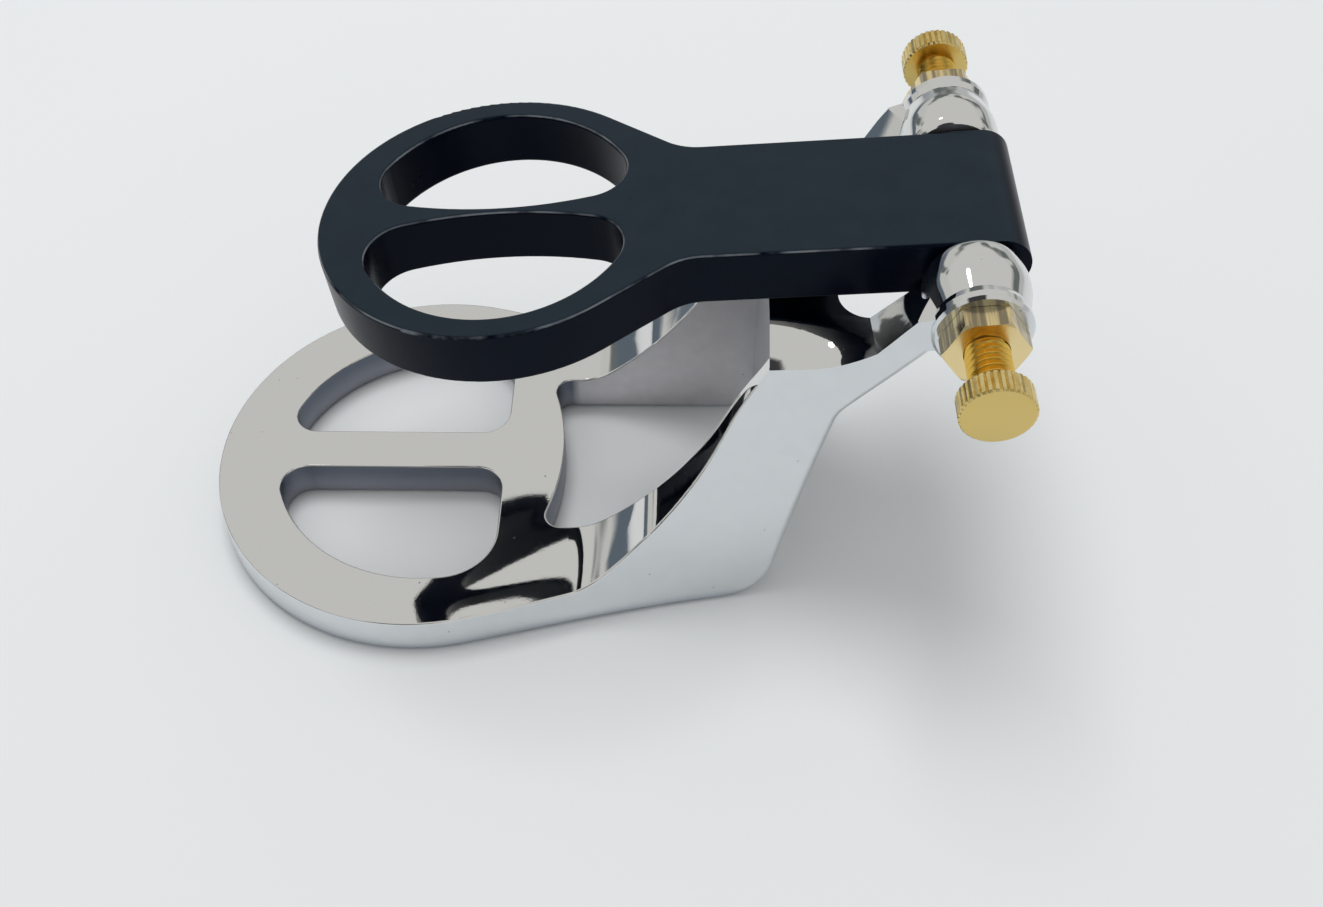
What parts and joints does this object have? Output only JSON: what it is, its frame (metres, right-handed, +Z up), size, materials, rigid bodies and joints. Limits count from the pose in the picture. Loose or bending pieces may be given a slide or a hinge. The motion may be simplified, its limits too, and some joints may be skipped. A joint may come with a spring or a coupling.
{
  "type": "hinge articulator",
  "caption": "Small hinged bench frame that holds an upper and a lower cast ring in line and lets the upper one swing open on two cone-point pivot screws.",
  "frame": {"origin": "on the bench, under the centre of the lower ring", "axes": "+X from the ring towards the hinge, +Y to the left when facing the hinge from the ring, +Z up"},
  "size_m": [0.1234, 0.0754, 0.0652],
  "materials": {
    "lower_casting": "chromed casting: polished top faces, brighter as-plated outer walls, dull inner walls",
    "upper_casting": "black satin coating with worn bright edges",
    "pivot_screws": "turned brass, straight knurl",
    "lock_nuts": "milled brass, satin"
  },
  "bodies": {
    "lower_frame": {"lower_frame": "lower_casting"},
    "upper_frame": {"upper_frame": "upper_casting"},
    "lock_nut_left": {"lock_nut_left": "lock_nuts"},
    "pivot_screw_left": {"pivot_screw_left": "pivot_screws"},
    "lock_nut_right": {"lock_nut_right": "lock_nuts"},
    "pivot_screw_right": {"pivot_screw_right": "pivot_screws"}
  },
  "joints": [
    {"name": "upper_hinge", "type": "hinge", "parent": "lower_frame", "child": "upper_frame", "pos_m": [0.0805, 0, 0.0581], "axis": [0, 1, 0], "range_deg": [-5.8, 180]},
    {"name": "lock_nut_left_slide", "type": "slide", "parent": "lower_frame", "child": "lock_nut_left", "axis": [0, 1, 0], "range_m": [0, 0.002]},
    {"name": "pivot_screw_left_turn", "type": "hinge", "parent": "lock_nut_left", "child": "pivot_screw_left", "pos_m": [0.0805, 0, 0.0581], "axis": [0, 1, 0], "range_deg": [0, 720]},
    {"name": "lock_nut_right_slide", "type": "slide", "parent": "lower_frame", "child": "lock_nut_right", "axis": [0, -1, 0], "range_m": [0, 0.002]},
    {"name": "pivot_screw_right_turn", "type": "hinge", "parent": "lock_nut_right", "child": "pivot_screw_right", "pos_m": [0.0805, 0, 0.0581], "axis": [0, -1, 0], "range_deg": [0, 720]}
  ],
  "couplings": [
    {"joint": "lock_nut_left_slide", "follows": "pivot_screw_left_turn", "m_per_rad": 0.00015915},
    {"joint": "lock_nut_right_slide", "follows": "pivot_screw_right_turn", "m_per_rad": 0.00015915}
  ]
}
